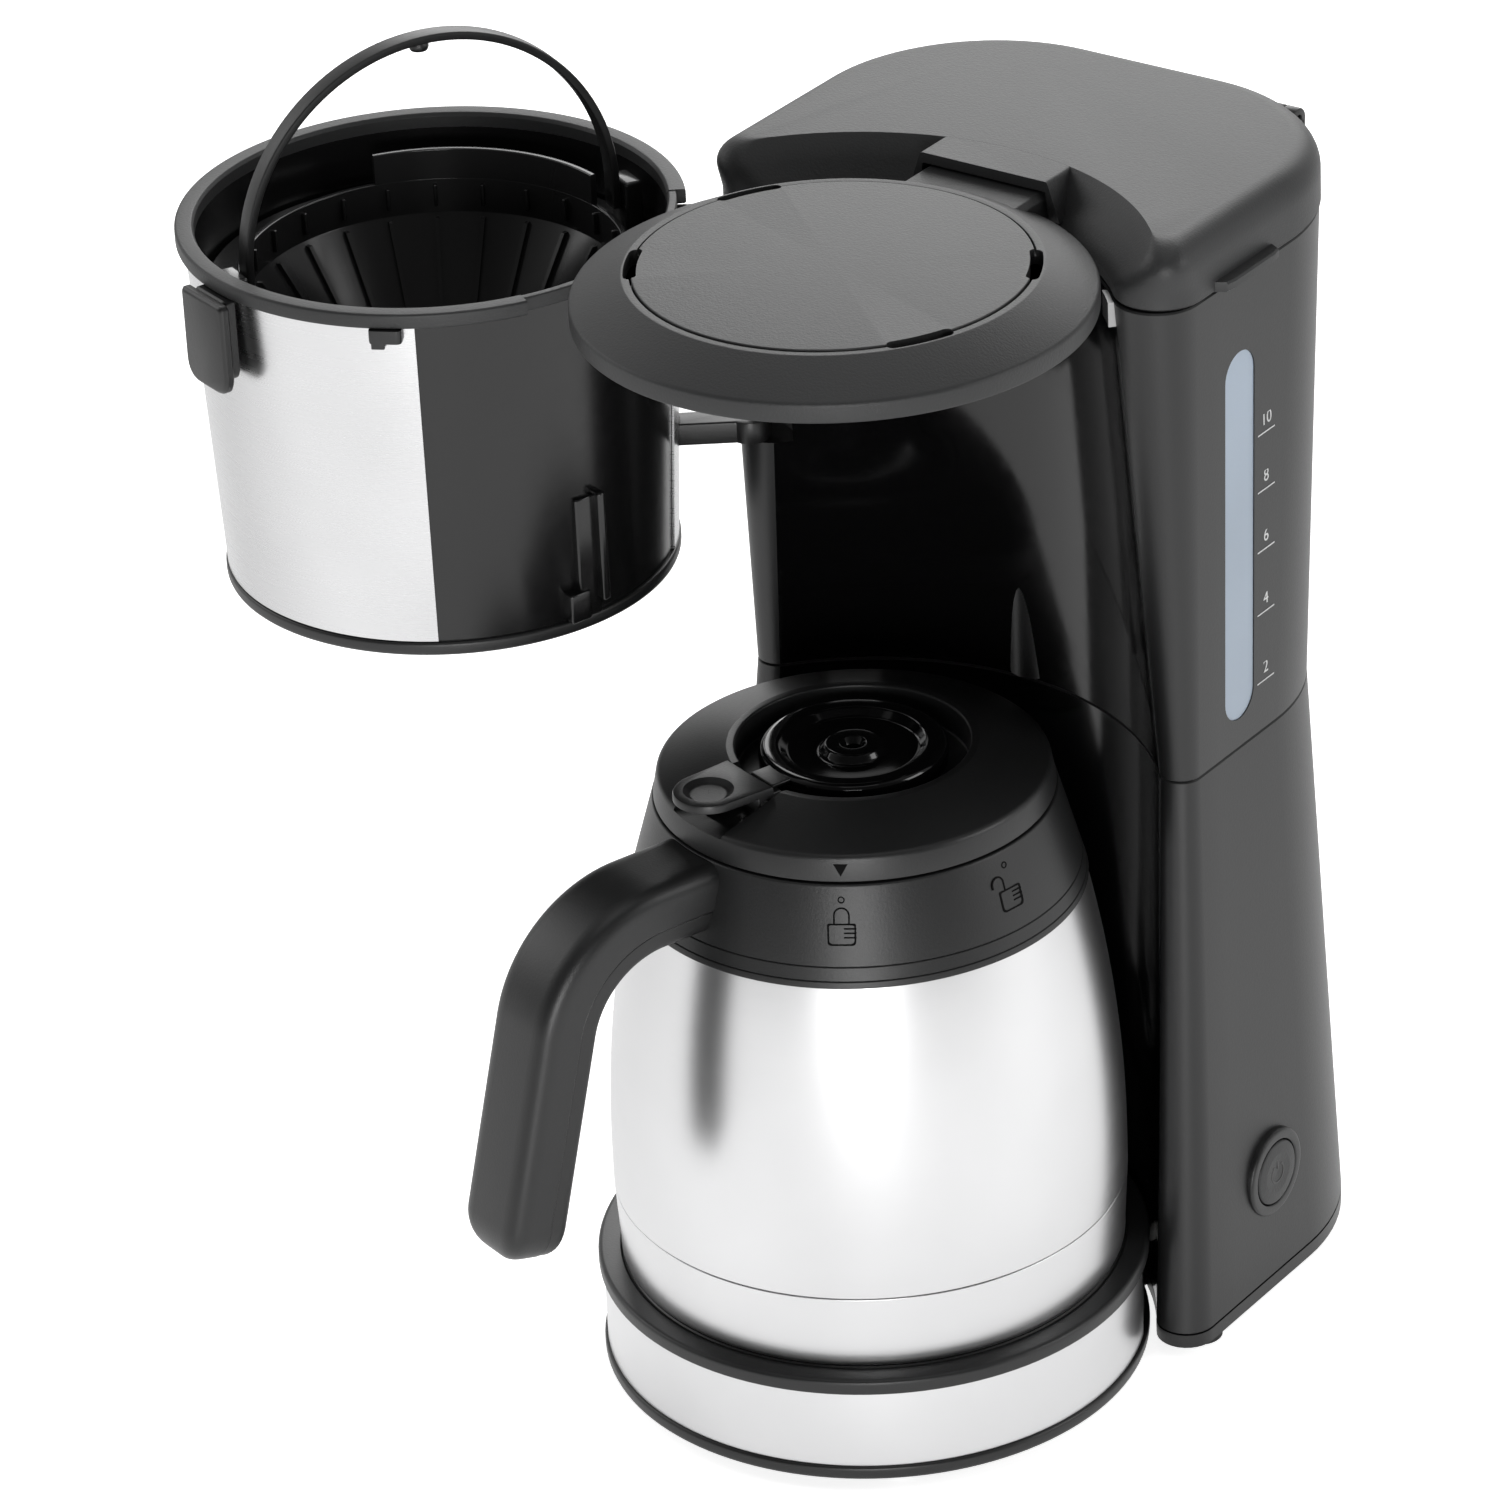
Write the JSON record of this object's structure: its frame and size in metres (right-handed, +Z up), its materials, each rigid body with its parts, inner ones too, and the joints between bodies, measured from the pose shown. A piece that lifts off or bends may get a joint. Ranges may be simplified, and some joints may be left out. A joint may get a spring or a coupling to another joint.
{
  "type": "drip coffee maker",
  "caption": "Drip coffee maker with a water tank tower, round brew head, swing-out filter bucket with bail, and a steel thermal carafe on a round stand.",
  "frame": {"origin": "brew axis (axis of carafe, stand and brew head) on the resting plane", "axes": "+Z up, front with the carafe towards -Y, the water window and button on the +X side"},
  "size_m": [0.2852, 0.2883, 0.367],
  "materials": {
    "rubber_black": "matte",
    "plastic_black": "satin",
    "plastic_satin": "fine grain",
    "plastic_gloss": "gloss",
    "steel_brushed": "brushed",
    "steel_liner": "satin",
    "steel_pin": "polished",
    "window_clear": "frosted",
    "heater_alloy": "cast",
    "silicone_pale": "satin",
    "part_brown": "gloss"
  },
  "bodies": {
    "machine": {"foot_ring": "rubber_black", "tower_feet": "rubber_black", "base_screws": "steel_pin", "bottom_cover": "plastic_black", "base_drum": "plastic_black", "base_band": "steel_brushed", "carafe_stand": "plastic_black", "lower_housing": "plastic_satin", "button_bezel": "plastic_satin", "power_switch": "part_brown", "cord_gland": "plastic_black", "water_window": "window_clear", "upper_housing": "plastic_satin", "hinge_pins": "steel_pin", "catch_clip": "steel_pin", "head_cover": "plastic_satin", "head_panel": "plastic_satin", "shower_plate": "plastic_gloss", "riser_tube": "silicone_pale", "inlet_hose": "silicone_pale", "heater": "heater_alloy", "heater_brackets": "steel_pin", "thermostat": "part_brown", "thermal_fuse": "steel_pin", "check_valve": "plastic_black"},
    "tank_cover": {"tank_lid": "plastic_satin", "lid_hinge_pins": "steel_pin"},
    "button": {"power_button": "plastic_satin"},
    "filter": {"filter_bucket": "plastic_gloss", "bucket_rim": "plastic_satin", "steel_wrap": "steel_brushed", "base_ring": "plastic_black", "swing_grip": "plastic_satin", "rim_catch": "plastic_satin"},
    "drip_stop": {"drip_valve": "plastic_black", "drip_seal": "silicone_pale", "drip_spring": "steel_pin"},
    "insert": {"filter_insert": "plastic_gloss"},
    "bail_handle": {"bail": "plastic_satin"},
    "carafe": {"carafe_cup": "steel_brushed", "carafe_shell": "steel_brushed", "carafe_liner": "steel_liner", "liner_spacer": "plastic_black", "carafe_collar": "plastic_satin", "handle_outer": "plastic_satin", "handle_inner": "plastic_satin"},
    "lid_base": {"lid_plug": "plastic_black", "lid_gasket": "silicone_pale"},
    "carafe_lid": {"lid_shell": "plastic_satin", "lever_pin": "steel_pin"},
    "lever": {"thumb_lever": "plastic_satin"},
    "puck": {"pour_puck": "plastic_gloss", "puck_seal": "silicone_pale"}
  },
  "joints": [
    {"name": "tank_lid_hinge", "type": "hinge", "parent": "machine", "child": "tank_cover", "pos_m": [0, 0.1596, 0.3194], "axis": [-1, 0, 0], "range_deg": [0, 95]},
    {"name": "filter_swing", "type": "hinge", "parent": "machine", "child": "filter", "pos_m": [-0.0665, 0.05, 0.28], "axis": [0, 0, 1], "range_deg": [0, 106.12]},
    {"name": "insert_lift", "type": "slide", "parent": "filter", "child": "insert", "axis": [0, 0, -1], "range_m": [-0.11, 0]},
    {"name": "bail_fold", "type": "hinge", "parent": "insert", "child": "bail_handle", "pos_m": [-0.133, 0, 0.3065], "axis": [-0.4543, -0.8908, 0], "range_deg": [0, 95]},
    {"name": "drip_stop_lift", "type": "slide", "parent": "filter", "child": "drip_stop", "axis": [0, 0, 1], "range_m": [0, 0.004], "stiffness_N_per_m": 100, "springref_m": -0.004, "deforming": ["drip_spring"]},
    {"name": "carafe_slide", "type": "slide", "parent": "machine", "child": "carafe", "axis": [0, -1, 0], "range_m": [0, 0.18]},
    {"name": "lid_lift", "type": "slide", "parent": "carafe", "child": "lid_base", "axis": [0, 0, -1], "range_m": [-0.05, 0]},
    {"name": "lid_twist", "type": "hinge", "parent": "lid_base", "child": "carafe_lid", "pos_m": [0, 0, 0.18], "axis": [0, 0, 1], "range_deg": [0, 48]},
    {"name": "lever_press", "type": "hinge", "parent": "carafe_lid", "child": "lever", "pos_m": [-0.01125, -0.03462, 0.1874], "axis": [0.9511, -0.309, 0], "range_deg": [0, 14], "stiffness_Nm_per_rad": 0.06, "springref_deg": -11.46},
    {"name": "puck_lift", "type": "slide", "parent": "carafe_lid", "child": "puck", "axis": [0, 0, 1], "range_m": [0, 0.0018]},
    {"name": "button_press", "type": "slide", "parent": "machine", "child": "button", "axis": [-1, 0, 0], "range_m": [0, 0.003], "stiffness_N_per_m": 300, "springref_m": -0.001}
  ],
  "couplings": [
    {"joint": "bail_fold", "follows": "filter_swing", "ratio": 0.8952},
    {"joint": "puck_lift", "follows": "lever_press", "m_per_rad": 0.007}
  ]
}
